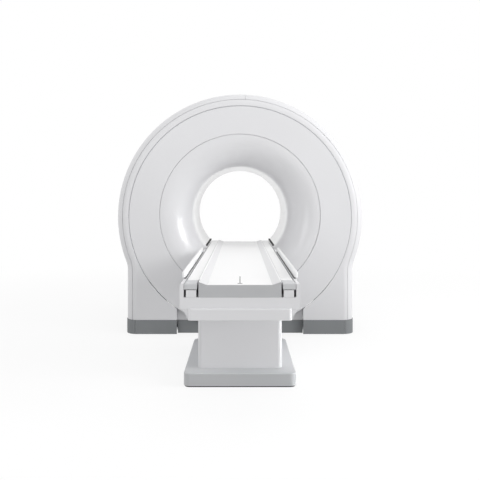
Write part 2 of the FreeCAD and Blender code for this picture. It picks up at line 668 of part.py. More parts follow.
POST_TURNS = (45, 135, 225, 315)             # degrees around the magnet, from +X
posts = []
for layer, inner, outer in (("out", shield_out, "magnet_radius - vacuum_wall"),
                            ("in", vessel_out, f"{shield_out} - shield_wall")):
    for sign in (-1, 1):
        for turn in POST_TURNS:
            thing = rod(f"post_{layer}_{sign}_{turn}".replace("-", "m"), "Z", "post_radius",
                        f"{outer} - ({inner}) - 2 * seat", f"({inner} + seat) * cos({turn})",
                        f"{sign} * saddle_place", f"bore_height + ({inner} + seat) * sin({turn})")
            thing.Placement.Rotation = FreeCAD.Rotation(V(0, 1, 0), 90 - turn)
            posts.append(thing)
node(group("posts", *posts), "cold_mass_posts")

former_in = f"{vessel_bore} + vessel_wall + seat"
former_out = f"{former_in} + former_wall"
node(tube("coil_former", former_in, former_out, f"-({vessel_half} - vessel_wall - seat)",
          f"{vessel_half} - vessel_wall - seat"), "coil_former")
main_in, main_out = f"{former_out} + seat", f"{former_out} + seat + coil_height"
shield_coil_out = f"{vessel_out} - vessel_wall - seat"
COILS = {       # near side, far side, inside, outside
    "inner_coil": ("inner_coil_near", "inner_coil_near + inner_coil_width", main_in, main_out),
    "middle_coil": ("middle_coil_near", "middle_coil_near + middle_coil_width", main_in, main_out),
    "outer_coil": ("magnet_half - outer_coil_inset - outer_coil_width", "magnet_half - outer_coil_inset",
                   main_in, main_out),
    "shield_coil": ("magnet_half - shield_coil_inset - shield_coil_width",
                    "magnet_half - shield_coil_inset", f"{shield_coil_out} - shield_coil_height",
                    shield_coil_out),
}
coils = []
for name, (near, far_side, inner, outer) in COILS.items():
    coils.append(tube(f"{name}_rear", inner, outer, near, far_side))
    coils.append(tube(f"{name}_front", inner, outer, f"-({far_side})", f"-({near})"))
node(group("coils", *coils), "superconducting_coils")

node(tube("gradient_coil", "gradient_inner", "magnet_bore - seat", "gradient_inset - magnet_half",
          "magnet_half - gradient_inset"),
     "gradient_coil")
node(tube("rf_body_coil", "bore_radius + liner_wall + seat", "gradient_inner - seat", "-rf_half",
          "rf_half"), "rf_body_coil")

turret_top = "bore_height + magnet_radius + turret_rise"
turret_whole = block("turret_whole", "-turret_half", "turret_half", "turret_place - turret_half",
                     "turret_place + turret_half", "bore_height + magnet_radius / 2", turret_top)
node(cut("turret", turret_whole, magnet_room), "service_turret")
node(rod("cold_head", "Z", "cold_head_radius", "cold_head_rise", "0", "turret_place",
         f"{turret_top} + seat"), "cold_head")

# ---- bore bridge: the cradle's track in the foot of the bore, and the seals beside the tabletop ----

keel_drop = "bore_height - keel_low + seat"
bridge_radius = "(bore_radius - seat)"
bridge_half = f"sqrt({bridge_radius}^2 - ({keel_drop})^2)"
node(extruded("bore_bridge", "XZ_Plane", [
    (f"-{bridge_half}", "keel_low - seat", "0", "bore_height"),
    ("0", f"bore_height - {bridge_radius}", "0", "bore_height"),
    (bridge_half, "keel_low - seat"),
], "rear_flare - half_depth", "half_depth - bridge_inset"), "bore_bridge")
bore_room = rod("bore_room", "Y", bridge_radius, f"liner_rear - ({throat}) - 2 * seat", "0",
                f"{throat} + seat", "bore_height")
seal_low, seal_inner = "flat_top - seal_sink", "flat_half + seal_gap"
seal_sides = {"left": ("-bore_radius", f"-({seal_inner})"), "right": (seal_inner, "bore_radius")}
seals = []
for side, ends in seal_sides.items():
    strip = block(f"seal_{side}", *ends, "-half_depth", "half_depth", seal_low, f"{seal_low} + seal_height")
    seals.append(shared(f"seal_{side}_cut", strip, bore_room))
node(group("seals", *seals), "bore_edge_seals")

# ---- table base, pedestal and lift ----


def soft_box(name, x_half, y_low, y_high, z_low, z_high, corner):
    whole = block(name, f"-({x_half})", x_half, y_low, y_high, z_low, z_high)
    return rounded(name + "_soft", whole, corner, upright)


foot_inset = "cover_wall + seat"
base_plate_top = "base_foot + base_foot"
node(soft_box("base_plate", f"base_half - ({foot_inset})", f"-(base_front - ({foot_inset}))",
              f"-(base_rear + ({foot_inset}))", "0", base_plate_top, f"base_corner - ({foot_inset})"),
     "table_base_plate")
base_solid = soft_box("base_solid", "base_half", "-base_front", "-base_rear", "base_foot", "base_height",
                      "base_corner")
base_outer = rounded("base_outer", base_solid, "base_edge", level_at(number("base_height")))
base_room = soft_box("base_room", "base_half - cover_wall", "-(base_front - cover_wall)",
                     "-(base_rear + cover_wall)", "0", "base_height - cover_wall",
                     "base_corner - cover_wall")
base_hatch = soft_box("base_hatch", "pedestal_half - cover_wall", "-(pedestal_front - cover_wall)",
                      "-(pedestal_rear + cover_wall)", "0", "pedestal_top", "pedestal_round - cover_wall")
node(cut("base_cover", base_outer, base_room, base_hatch), "table_base_cover")
node(cut("pedestal", soft_box("pedestal_solid", "pedestal_half", "-pedestal_front", "-pedestal_rear",
                              "base_height + seat", "pedestal_top - seat", "pedestal_round"), base_hatch),
     "pedestal_cover")

sleeve_out = "cover_wall + sleeve_gap"
sleeve_in = "cover_wall + sleeve_gap + cover_wall"
sleeve_parts = [soft_box(name, f"pedestal_half - ({inset})", f"-(pedestal_front - ({inset}))",
                         f"-(pedestal_rear + ({inset}))", low, high, f"pedestal_round - ({inset})")
                for name, inset, low, high in (
                    ("sleeve_solid", sleeve_out, "sleeve_foot", "pedestal_top - seat"),
                    ("sleeve_room", sleeve_in, "0", "pedestal_top"))]
node(cut("sleeve", *sleeve_parts), "column_sleeve")


def column_box(name, half, low, high):
    return block(name, f"-({half})", half, f"-lift_place - ({half})", f"-lift_place + {half}", low, high)


tube_half = "(column_half - column_wall - guide_gap)"
node(cut("column", column_box("column_solid", "column_half", f"{base_plate_top} + seat",
                           "pedestal_top - column_drop"),
         column_box("column_room", "(column_half - column_wall)", "0", "pedestal_top")), "lift_column")
nut_bore = rod("nut_bore", "Z", "screw_radius + seat", "2 * nut_wall", "0", "-lift_place", "tube_foot - seam")
node(cut("lift_tube_cut", column_box("tube_solid", tube_half, "tube_foot", "pedestal_top - seat"),
         column_box("tube_room", f"({tube_half} - column_wall)", "tube_foot + nut_wall", "pedestal_top"),
         nut_bore), "lift_tube")
gear_case = block("gear_case", "-screw_radius - column_wall * 2", "motor_side + motor_radius + seam",
                  "-lift_place - motor_radius - seam", "-lift_place + motor_radius + seam",
                  f"{base_plate_top} + seat", "drive_top")
motor_can = rod("drive_motor_can", "Z", "motor_radius", "motor_top - drive_top + seam", "motor_side",
                "-lift_place", "drive_top - seam")
node(joined("drive_unit", gear_case, motor_can), "lift_drive")
node(rod("screw", "Z", "screw_radius", "pedestal_top - screw_drop - drive_top - seat", "0", "-lift_place",
         "drive_top + seat"), "lift_screw")

# ---- deck: tray, body with side walls, tracks, side bars ----

tray_half, tray_lip_top = "deck_half - tray_inset", "deck_low + tray_lip_rise"
tray_front, tray_rear = "deck_front + tray_lip", "deck_rear + tray_inset_rear"
tray_solid = soft_box("tray_solid", tray_half, f"-({tray_front})", f"-({tray_rear})", "pedestal_top",
                      tray_lip_top, "tray_corner")
tray_soft = rounded("tray_rim", tray_solid, "tray_round", level_at(number(tray_lip_top)))
# a sloping flank on each side carries the line of the deck's side down to the foot of the tray
flank_foot = f"({tray_half} - cover_wall / 2)"
flank_right = extruded("flank_right", "XZ_Plane", [
    (flank_foot, "pedestal_top"), ("deck_half - deck_round", "deck_low - seat"), (flank_foot, "deck_low - seat"),
], tray_rear, "deck_front")
tray_whole = joined("tray_whole", tray_soft, flank_right, mirrored("flank_left", flank_right))
tray_room = soft_box("tray_room", f"{tray_half} - cover_wall", "-(deck_front - cover_wall)",
                     f"-({tray_rear} + cover_wall)", "pedestal_top + cover_wall", f"{tray_lip_top} + seam",
                     "tray_corner - cover_wall")
deck_place = block("deck_place", "-deck_half", "deck_half", "-(deck_front + seat)", "0", "deck_low - seat",
                   "deck_top")
node(cut("tray", tray_whole, tray_room, deck_place), "lower_tray")

wall_in = "(deck_half - deck_wall)"
shoulder = "keel_low - seat"
low_turn = "(deck_half - deck_round)"
top_turn = "(deck_half - wall_round)"
deck_solid = extruded("deck_solid", "XZ_Plane", [
    ("-deck_half", "deck_low + deck_round", f"-{low_turn}", "deck_low + deck_round"),
    (f"-{low_turn}", "deck_low"),
    (low_turn, "deck_low", low_turn, "deck_low + deck_round"),
    ("deck_half", "deck_low + deck_round"),
    ("deck_half", "deck_top - wall_round", top_turn, "deck_top - wall_round"),
    (top_turn, "deck_top"),
    (wall_in, "deck_top"), (wall_in, shoulder), (f"-{wall_in}", shoulder), (f"-{wall_in}", "deck_top"),
    (f"-{top_turn}", "deck_top", f"-{top_turn}", "deck_top - wall_round"),
    ("-deck_half", "deck_top - wall_round"),
], "deck_rear", "deck_front")
track_inner, track_outer = "keel_half + track_gap", "flat_half - track_inset"
track_top = "flat_low - glide - seat"
deck_room_half = f"({track_inner} - glide_inset)"
deck_room = block("deck_room", f"-{deck_room_half}", deck_room_half, "-(deck_front - deck_floor)",
                  "-(deck_rear + deck_floor)", "deck_low + deck_floor", "keel_low")
node(cut("deck", deck_solid, deck_room), "deck_body")


def pair(name, x_low, x_high, *rest):
    right = block(f"{name}_right", x_low, x_high, *rest)
    return right, mirrored(f"{name}_left", right)


node(group("tracks", *pair("track", track_inner, track_outer, "-deck_front", "-deck_rear", "keel_low",
                           track_top)), "deck_tracks")
node(group("glides", *pair("glide", f"{track_inner} + glide_inset", f"{track_outer} - glide_inset",
                           "glide_inset - deck_front", "-(deck_rear + glide_inset)",
                           f"{track_top} + seat", f"{track_top} + glide")), "glide_strips")
strip_outer, bar_outer = "deck_half - strip_inset", "deck_half + bar_proud"
bar_ends = ("bar_front - deck_front", "-(deck_rear + bar_rear)")
node(group("bar_strips", *pair("bar_strip", f"{strip_outer} - strip_width", strip_outer, *bar_ends,
                               "deck_top + seat", "deck_top + bar_foot")), "side_bar_strips")
bar_right = block("bar_right_block", f"{bar_outer} - bar_width", bar_outer, *bar_ends,
                  "deck_top + bar_foot + seat", "deck_top + bar_height")
bar_soft = rounded("bar_soft", bar_right, "bar_round", level_at(number("deck_top + bar_height")))
node(bar_soft, "side_bar_right")
node(mirrored("bar_left_mirror", bar_soft), "side_bar_left")

# ---- cradle: a board with a shallow channel on top and a keel below ----

end_room = "(cap_length + seat)"
channel_half, channel_floor = "keel_half - channel_side", "crest - channel_depth"
half_profile = [("keel_half - keel_chamfer", "keel_low"), ("keel_half", "keel_low + keel_chamfer"),
                ("keel_half", "flat_low"), ("flat_half - wing_chamfer", "flat_low"),
                ("flat_half", "flat_top - 2 * seam"), ("flat_half", "flat_top - seam"),
                ("flat_half - seam", "flat_top"), ("keel_half + crest_foot", "flat_top"),
                ("keel_half + seam / 2", "crest"), ("keel_half - seam", "crest"),
                (channel_half, channel_floor)]


def both_sides(profile):
    return profile + [(f"-({across})", height) for across, height in reversed(profile)]


board = extruded("board", "XZ_Plane", both_sides(half_profile), "cradle_rear", f"deck_front - {end_room}")
notch_sides = {"left": ("-deck_half", "-keel_half"), "right": ("keel_half", "deck_half")}
notches = [block(f"notch_{side}", *ends, "-deck_front", "-(deck_front - slot_length)", "keel_low - seam",
                 "crest + seam")
           for side, ends in notch_sides.items()]
node(cut("board_cut", board, *notches), "cradle_board")
cap_profile = [("keel_half", "keel_low"), ("keel_half", "crest - seam / 2"),
               ("keel_half - seam / 2", "crest"), ("keel_half - seam", "crest"),
               (channel_half, channel_floor)]
node(extruded("end_cap", "XZ_Plane", both_sides(cap_profile), "deck_front - cap_length", "deck_front"),
     "cradle_end_cap")
corner_right = block("corner_right_block", "keel_half + slot_width", "flat_half + side_gap / 2",
                     "-deck_front", "-(deck_front - slot_length + seat)", "flat_low", "flat_top")
corner_soft = rounded("corner_soft", corner_right, "corner_round", level_at(number("flat_top")))
node(group("corners", corner_soft, mirrored("corner_left", corner_soft)), "cradle_corner_blocks")

# ---- cradle drive: a belt over two pulleys in the deck, and the clamp that ties the cradle to it ----

pulley_rise = "(pulley_radius + belt_wall + seam)"
axis_height = f"(deck_low + deck_floor + {pulley_rise})"
PULLEYS = {
    "idler_pulley": "(pulley_inset_front - deck_front)",
    "drive_pulley": "-(deck_rear + pulley_inset_rear)",
}


def loop(name, radius):
    radius = f"({radius})"
    rods = [rod(f"{name}_{end}", "X", radius, "belt_width", "-belt_width / 2", place, axis_height)
            for end, place in PULLEYS.items()]
    run = block(f"{name}_run", "-belt_width / 2", "belt_width / 2", *PULLEYS.values(),
                f"{axis_height} - {radius}", f"{axis_height} + {radius}")
    return joined(name, run, *rods)


belt_out, belt_in = "pulley_radius + seat + belt_wall", "pulley_radius + seat"
node(cut("belt", loop("belt_outside", belt_out), loop("belt_inside", belt_in)), "drive_belt")
cheek_in, cheek_out = "(belt_width / 2 + seam)", "(belt_width / 2 + seam + axle_cheek)"
cheek_sides = {"left": (f"-{cheek_out}", f"-{cheek_in}"), "right": (cheek_in, cheek_out)}
mounts = []
for name, place in PULLEYS.items():
    wheel = rod(f"{name}_wheel", "X", "pulley_radius", "belt_width + seam", "-(belt_width + seam) / 2",
                place, axis_height)
    hole = rod(f"{name}_hole", "X", "axle_radius + seat", "2 * belt_width", "-belt_width", place,
               axis_height)
    node(cut(f"{name}_cut", wheel, hole), name)
    cheeks = [block(f"{name}_cheek_{side}", *ends, f"{place} - pulley_radius", f"{place} + pulley_radius",
                    "deck_low + deck_floor + seat", f"{axis_height} + 2 * axle_radius")
              for side, ends in cheek_sides.items()]
    axle = rod(f"{name}_axle", "X", "axle_radius", f"2 * {cheek_out}", f"-{cheek_out}", place, axis_height)
    mounts.append(joined(f"{name}_mount", axle, *cheeks))
node(group("pulley_mounts", *mounts), "pulley_brackets")
node(rod("belt_motor", "X", f"{pulley_rise} - seat", "motor_length", f"{cheek_out} + seat",
         PULLEYS["drive_pulley"], axis_height), "drive_motor")
clamp_front = "(pulley_inset_front + clamp_place - deck_front)"
node(block("clamp", "-belt_width / 2", "belt_width / 2", clamp_front, f"{clamp_front} + clamp_length",
           "keel_low - seat - clamp_wall", "keel_low - seat"), "belt_clamp")

# ---- checks, and the files ----

doc.recompute()
faults = [f"{thing.Name}: {thing.State}" for thing in doc.Objects
          if any(word in ("Invalid", "Error") for word in thing.State)]
for thing in NODES:
    shape = thing.Shape
    if shape.isNull() or not shape.isValid() or not shape.Solids or shape.Volume < 1:
        faults.append(f"{thing.Label}: bad shape")
if faults:
    raise SystemExit("not written: " + "; ".join(faults))

os.makedirs("parts", exist_ok=True)
for thing in NODES:
    thing.Shape.exportStep(f"parts/{thing.Label}.step")
print(len(NODES), "pieces written")
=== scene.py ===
import json
import math

import bmesh
import bpy
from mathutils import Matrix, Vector


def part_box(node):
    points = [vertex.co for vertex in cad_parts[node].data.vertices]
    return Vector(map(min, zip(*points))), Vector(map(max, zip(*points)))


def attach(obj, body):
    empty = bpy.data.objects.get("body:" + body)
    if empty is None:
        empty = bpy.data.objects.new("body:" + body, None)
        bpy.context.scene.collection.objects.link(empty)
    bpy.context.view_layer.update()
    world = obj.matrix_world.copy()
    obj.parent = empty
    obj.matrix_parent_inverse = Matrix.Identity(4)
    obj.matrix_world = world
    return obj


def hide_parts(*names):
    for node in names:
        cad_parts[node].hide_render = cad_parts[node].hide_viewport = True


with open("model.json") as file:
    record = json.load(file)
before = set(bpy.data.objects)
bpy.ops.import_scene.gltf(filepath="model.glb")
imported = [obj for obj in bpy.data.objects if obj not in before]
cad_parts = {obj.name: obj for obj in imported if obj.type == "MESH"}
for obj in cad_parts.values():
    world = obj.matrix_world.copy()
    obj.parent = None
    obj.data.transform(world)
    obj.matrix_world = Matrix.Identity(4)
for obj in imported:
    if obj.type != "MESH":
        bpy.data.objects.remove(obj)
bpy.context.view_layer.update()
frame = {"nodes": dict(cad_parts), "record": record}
nodes = frame["nodes"]
mm = 0.001
print("frame loaded:", len(nodes), "pieces")


def hexToLinear(text):
    # an sRGB hex colour as the linear RGBA that the shaders take
    values = [int(text[i:i + 2], 16) / 255 for i in (1, 3, 5)]
    return tuple(v / 12.92 if v <= 0.04045 else ((v + 0.055) / 1.055) ** 2.4 for v in values) + (1.0,)


def addNode(tree, kind, sockets=None, **settings):
    # adds a node; a socket's value is either a constant or the output it is linked to
    made = tree.nodes.new(kind)
    for name, value in settings.items():
        setattr(made, name, value)
    for name, value in (sockets or {}).items():
        if isinstance(value, bpy.types.NodeSocket):
            tree.links.new(value, made.inputs[name])
        else:
            made.inputs[name].default_value = value
    return made


def newMaterial(name, shader):
    # an empty material with its shader and output; the shader's own sockets hold what is constant
    made = bpy.data.materials.new(name)
    made.use_nodes = True
    tree = made.node_tree
    tree.nodes.clear()
    surface = addNode(tree, "ShaderNodeBsdfPrincipled", shader)
    addNode(tree, "ShaderNodeOutputMaterial", {"Surface": surface.outputs["BSDF"]})
    return made, tree, surface


def paint(material, *names):
    # gives a material to CAD pieces
    for name in names:
        slots = nodes[name].data.materials
        slots.clear()
        slots.append(material)


# What a moulded skin has unless its own finish says otherwise: no clear coat, and edges eased by the mould's
# radius. The two tones keep to the middle of the noise.
mouldedSkin = {
    "coat": 0.0, "coatRoughness": 0.1, "edgeMm": 2.5, "edgeSamples": 4, "shadeAt": 0.35, "colourAt": 0.65,
}


def mouldedMaterial(finish):
    # A moulded or sprayed plastic. Its skin is never quite flat: a fine peel or grain breaks up the highlight
    # and a slow waviness bends reflections on a large panel. The colour drifts by a hair over a metre.
    spec = mouldedSkin | finish
    made, tree, surface = newMaterial(spec["name"], {
        "Roughness": spec["roughness"], "IOR": spec["ior"], "Metallic": 0.0,
        "Coat Weight": spec["coat"], "Coat Roughness": spec["coatRoughness"]})
    place = addNode(tree, "ShaderNodeTexCoord").outputs["Object"]
    drift = addNode(tree, "ShaderNodeTexNoise", {
        "Vector": place, "Scale": 1 / spec["driftSize"], "Detail": 2.0})
    ramp = addNode(tree, "ShaderNodeValToRGB", {"Fac": drift.outputs["Fac"]})
    ramp.color_ramp.elements[0].position = spec["shadeAt"]
    ramp.color_ramp.elements[0].color = hexToLinear(spec["shade"])
    ramp.color_ramp.elements[1].position = spec["colourAt"]
    ramp.color_ramp.elements[1].color = hexToLinear(spec["colour"])
    tree.links.new(ramp.outputs["Color"], surface.inputs["Base Color"])
    softEdge = addNode(tree, "ShaderNodeBevel", {"Radius": spec["edgeMm"] * mm}, samples=spec["edgeSamples"])
    grain = addNode(tree, "ShaderNodeTexNoise", {
        "Vector": place, "Scale": 1 / (spec["grainMm"] * mm), "Detail": 3.0})
    grainBump = addNode(tree, "ShaderNodeBump", {
        "Height": grain.outputs["Fac"], "Normal": softEdge.outputs["Normal"],
        "Strength": spec["grainStrength"], "Distance": spec["grainDepthMm"] * mm})
    wave = addNode(tree, "ShaderNodeTexNoise", {
        "Vector": place, "Scale": 1 / spec["waveSize"], "Detail": 1.0})
    waveBump = addNode(tree, "ShaderNodeBump", {
        "Height": wave.outputs["Fac"], "Normal": grainBump.outputs["Normal"],
        "Strength": spec["waveStrength"], "Distance": spec["waveDepthMm"] * mm})
    tree.links.new(waveBump.outputs["Normal"], surface.inputs["Normal"])
    return made


def metalMaterial(spec):
    # A plain metal: a fine brushing along one way stretches the highlight, and the tone varies a little.
    made, tree, surface = newMaterial(spec["name"], {"Metallic": 1.0, "Roughness": spec["roughness"]})
    place = addNode(tree, "ShaderNodeTexCoord").outputs["Object"]
    stretched = addNode(tree, "ShaderNodeMapping", {"Vector": place, "Scale": spec["stretch"]})
    lines = addNode(tree, "ShaderNodeTexNoise", {
        "Vector": stretched.outputs["Vector"], "Scale": 1 / (spec["grainMm"] * mm), "Detail": 2.0})
    ramp = addNode(tree, "ShaderNodeValToRGB", {"Fac": lines.outputs["Fac"]})
    ramp.color_ramp.elements[0].color = hexToLinear(spec["shade"])
    ramp.color_ramp.elements[1].color = hexToLinear(spec["colour"])
    tree.links.new(ramp.outputs["Color"], surface.inputs["Base Color"])
    bump = addNode(tree, "ShaderNodeBump", {
        "Height": lines.outputs["Fac"], "Strength": spec["grainStrength"],
        "Distance": spec["grainDepthMm"] * mm})
    tree.links.new(bump.outputs["Normal"], surface.inputs["Normal"])
    return made


# Gantry covers: vacuum-formed ABS, sprayed with a satin polyurethane. A broad soft sheen, no sparkle.
coverPaint = mouldedMaterial({
    "name": "sprayedAbsSatinWhite", "colour": "#E6E6E8", "shade": "#E3E3E5", "roughness": 0.42, "ior": 1.49,
    "coat": 0.15, "coatRoughness": 0.25, "driftSize": 0.9, "grainMm": 2.2, "grainDepthMm": 0.02,
    "grainStrength": 0.25, "waveSize": 0.35, "waveDepthMm": 0.6, "waveStrength": 0.25})

# Funnels: glass-fibre laminate with a polished gel coat, which mirrors softly at a low angle.
gelCoat = mouldedMaterial({
    "name": "gelCoatedFibreglassWhite", "colour": "#E4E4E6", "shade": "#E1E1E3", "roughness": 0.3, "ior": 1.52,
    "coat": 0.5, "coatRoughness": 0.12, "driftSize": 0.7, "grainMm": 3.0, "grainDepthMm": 0.015,
    "grainStrength": 0.2, "waveSize": 0.25, "waveDepthMm": 0.5, "waveStrength": 0.25})

# Bore liner: the same laminate, with a brighter white painted in to stand for the light that falls into the
# bore.
linerPaintedBright = mouldedMaterial({
    "name": "gelCoatLinerPaintedBright", "colour": "#F8F8F8", "shade": "#F5F5F6", "roughness": 0.28, "ior": 1.52,
    "coat": 0.5, "coatRoughness": 0.12, "driftSize": 0.7, "grainMm": 3.0, "grainDepthMm": 0.015,
    "grainStrength": 0.2, "waveSize": 0.25, "waveDepthMm": 0.5, "waveStrength": 0.25})

# Plinth: through-coloured grey PVC kick panel. A fine pebble hides scuffs, so it looks flat and matt.
plinthVinyl = mouldedMaterial({
    "name": "pebbledPvcGrey", "colour": "#85888A", "shade": "#7E8183", "roughness": 0.62, "ior": 1.53,
    "driftSize": 0.3, "grainMm": 1.6, "grainDepthMm": 0.12, "grainStrength": 0.5,
    "waveSize": 0.2, "waveDepthMm": 0.4, "waveStrength": 0.2})

# Table covers: injection-moulded PC/ABS in a satin white close to the gantry's.
tablePlastic = mouldedMaterial({
    "name": "mouldedPcAbsSatinWhite", "colour": "#E3E3E5", "shade": "#E0E0E2", "roughness": 0.38, "ior": 1.55,
    "coat": 0.2, "coatRoughness": 0.2, "driftSize": 0.5, "grainMm": 1.4, "grainDepthMm": 0.02,
    "grainStrength": 0.25, "waveSize": 0.25, "waveDepthMm": 0.3, "waveStrength": 0.2})

# Side bars: aluminium extrusions in a satin white powder coat, brighter than the covers around them.
barPowder = mouldedMaterial({
    "name": "powderCoatSatinWhite", "colour": "#F6F6F6", "shade": "#F3F3F4", "roughness": 0.36, "ior": 1.5,
    "coat": 0.2, "coatRoughness": 0.2, "driftSize": 0.5, "grainMm": 1.2, "grainDepthMm": 0.03,
    "grainStrength": 0.3, "waveSize": 0.25, "waveDepthMm": 0.2, "waveStrength": 0.2})

# Table base: the same plastic in light grey with a spark-eroded texture, duller than the covers above it.
basePlastic = mouldedMaterial({
    "name": "texturedAbsLightGrey", "colour": "#C8C9CB", "shade": "#C3C5C7", "roughness": 0.5, "ior": 1.55,
    "driftSize": 0.4, "grainMm": 1.2, "grainDepthMm": 0.06, "grainStrength": 0.4,
    "waveSize": 0.2, "waveDepthMm": 0.3, "waveStrength": 0.2})

# End cap: grey polyamide from a bead-blasted tool, soft highlight. The corner blocks are a lighter grey.
capNylon = mouldedMaterial({
    "name": "mouldedNylonGrey", "colour": "#BCBDBF", "shade": "#B7B8BA", "roughness": 0.48, "ior": 1.53,
    "driftSize": 0.2, "grainMm": 1.0, "grainDepthMm": 0.05, "grainStrength": 0.4,
    "waveSize": 0.1, "waveDepthMm": 0.15, "waveStrength": 0.2})

cornerNylon = mouldedMaterial({
    "name": "mouldedNylonLightGrey", "colour": "#CDCED0", "shade": "#C9CACC", "roughness": 0.45, "ior": 1.53,
    "driftSize": 0.2, "grainMm": 1.0, "grainDepthMm": 0.05, "grainStrength": 0.4,
    "waveSize": 0.1, "waveDepthMm": 0.15, "waveStrength": 0.2})

# Grey rubber: the strips the side bars stand on, soft and matt.
greyRubber = mouldedMaterial({
    "name": "extrudedEpdmGrey", "colour": "#5A5B5D", "shade": "#545557", "roughness": 0.65, "ior": 1.52,
    "driftSize": 0.2, "grainMm": 0.9, "grainDepthMm": 0.05, "grainStrength": 0.5,
    "waveSize": 0.05, "waveDepthMm": 0.2, "waveStrength": 0.3})

# Black rubber: seals and the foot of the table.
blackRubber = mouldedMaterial({
    "name": "mouldedEpdmBlack", "colour": "#1B1B1C", "shade": "#161617", "roughness": 0.7, "ior": 1.52,
    "driftSize": 0.2, "grainMm": 0.9, "grainDepthMm": 0.05, "grainStrength": 0.5,
    "waveSize": 0.05, "waveDepthMm": 0.2, "waveStrength": 0.3})

# Inside the covers.
castComposite = mouldedMaterial({
    "name": "filledEpoxyOchre", "colour": "#B8A679", "shade": "#A89566", "roughness": 0.55, "ior": 1.55,
    "driftSize": 0.08, "grainMm": 2.0, "grainDepthMm": 0.1, "grainStrength": 0.5,
    "waveSize": 0.1, "waveDepthMm": 0.5, "waveStrength": 0.3})
windingResin = mouldedMaterial({
    "name": "pottedWindingBrown", "colour": "#A8622F", "shade": "#8C4E24", "roughness": 0.4, "ior": 1.55,
    "driftSize": 0.02, "grainMm": 1.5, "grainDepthMm": 0.2, "grainStrength": 0.5,
    "waveSize": 0.1, "waveDepthMm": 0.3, "waveStrength": 0.3})
millAluminium = metalMaterial({
    "name": "extrudedAluminium", "colour": "#C9CBCE", "shade": "#B9BBBE", "roughness": 0.38,
    "stretch": (1.0, 0.05, 1.0), "grainMm": 0.8, "grainDepthMm": 0.02, "grainStrength": 0.3})
brushedStainless = metalMaterial({
    "name": "brushedStainlessSteel", "colour": "#B4B2AE", "shade": "#A09E9A", "roughness": 0.32,
    "stretch": (0.05, 1.0, 1.0), "grainMm": 0.6, "grainDepthMm": 0.02, "grainStrength": 0.3})


# Tabletop: compression-moulded composite skin, the whitest and smoothest surface. The channel's slopes carry a
# painted shade, greyer wherever the normal leans sideways. A short printed line with a foot marks the middle.
tabletop = {
    "name": "compositeSkinWhite", "colour": "#FAFAFA", "slope": "#DEDEE0", "mark": "#2A2B2D",
    "roughness": 0.3, "ior": 1.5, "coat": 0.3, "coatRoughness": 0.15,
    "slopeFrom": 0.16, "slopeTo": 0.26,                                   # how far a slope's normal leans
    "grainMm": 1.8, "grainDepthMm": 0.02, "grainStrength": 0.2,
    "lines": [(2.6 * mm, -2.530, -2.290), (12 * mm, -2.552, -2.530)],     # half width, front and rear end
}


def tabletopMaterial():
    made, tree, surface = newMaterial(tabletop["name"], {
        "Roughness": tabletop["roughness"], "IOR": tabletop["ior"],
        "Coat Weight": tabletop["coat"], "Coat Roughness": tabletop["coatRoughness"]})

    def maths(operation, *values):
        return addNode(tree, "ShaderNodeMath", dict(enumerate(values)), operation=operation).outputs[0]

    place = addNode(tree, "ShaderNodeTexCoord").outputs["Object"]
    axes = addNode(tree, "ShaderNodeSeparateXYZ", {"Vector": place})
    facing = addNode(tree, "ShaderNodeSeparateXYZ", {
        "Vector": addNode(tree, "ShaderNodeNewGeometry").outputs["True Normal"]})
    # painted shade: the colour greys towards the slope shade as the true normal leans sideways
    tilt = maths("ABSOLUTE", facing.outputs["X"])
    slopeShading = addNode(tree, "ShaderNodeMapRange", {
        "Value": tilt, "From Min": tabletop["slopeFrom"], "From Max": tabletop["slopeTo"]})
    colour = addNode(tree, "ShaderNodeMix", {
        "Factor": slopeShading.outputs["Result"], "A": hexToLinear(tabletop["colour"]),
        "B": hexToLinear(tabletop["slope"])}, data_type="RGBA")
    across = maths("ABSOLUTE", axes.outputs["X"])
    for halfWidth, front, rear in tabletop["lines"]:
        narrow = maths("LESS_THAN", across, halfWidth)
        after = maths("GREATER_THAN", axes.outputs["Y"], front)
        before = maths("LESS_THAN", axes.outputs["Y"], rear)
        printed = maths("MULTIPLY", maths("MULTIPLY", after, before), narrow)
        colour = addNode(tree, "ShaderNodeMix", {
            "Factor": printed, "A": colour.outputs["Result"], "B": hexToLinear(tabletop["mark"])},
            data_type="RGBA")
    tree.links.new(colour.outputs["Result"], surface.inputs["Base Color"])
    grain = addNode(tree, "ShaderNodeTexNoise", {"Vector": place, "Scale": 1 / (tabletop["grainMm"] * mm)})
    bump = addNode(tree, "ShaderNodeBump", {
        "Height": grain.outputs["Fac"], "Strength": tabletop["grainStrength"],
        "Distance": tabletop["grainDepthMm"] * mm})
    tree.links.new(bump.outputs["Normal"], surface.inputs["Normal"])
    return made


slotMaterials = {
    "shell": coverPaint, "funnel": gelCoat, "plinth": plinthVinyl, "table": tablePlastic,
    "base": basePlastic, "cap": capNylon, "black": blackRubber, "tabletop": tabletopMaterial(),
    "composite": castComposite, "coil": windingResin, "frame": millAluminium,
    "vessel": brushedStainless, "shield": millAluminium,
}
for part in frame["record"]["subparts"]:
    paint(slotMaterials[part["material_slot"]], part["node"])
# pieces whose finish differs from the rest of their slot
paint(cornerNylon, "cradle_corner_blocks")
# the liner's whiter tone is painted light for the lit bore, not a different gel coat
paint(linerPaintedBright, "bore_liner")
paint(greyRubber, "side_bar_strips")
print("materials on", len(nodes), "pieces")

# Side bars: satin white extrusions with end plugs, so both ends are rounded off in plan and from the side.
sideBar = {
    "shoulder": 7.0 * mm, "shoulderShare": 0.98,          # of half the bar's width, at most
    "foot": 1.5 * mm, "turnSteps": 5,
    "grooveDepth": 1.4 * mm, "grooveHalf": 1.3 * mm, "grooveLift": 9.0 * mm, "grooveFloor": 0.5,
    "nose": 15.0 * mm, "noseRings": 8,
    "widthLeft": 0.45, "heightLeft": 0.835,               # share of the section that is left at the very end
    "sharpOver": 40,                                      # degrees
}


def quarterTurn(steps):
    return [math.pi / 2 * step / steps for step in range(steps + 1)]


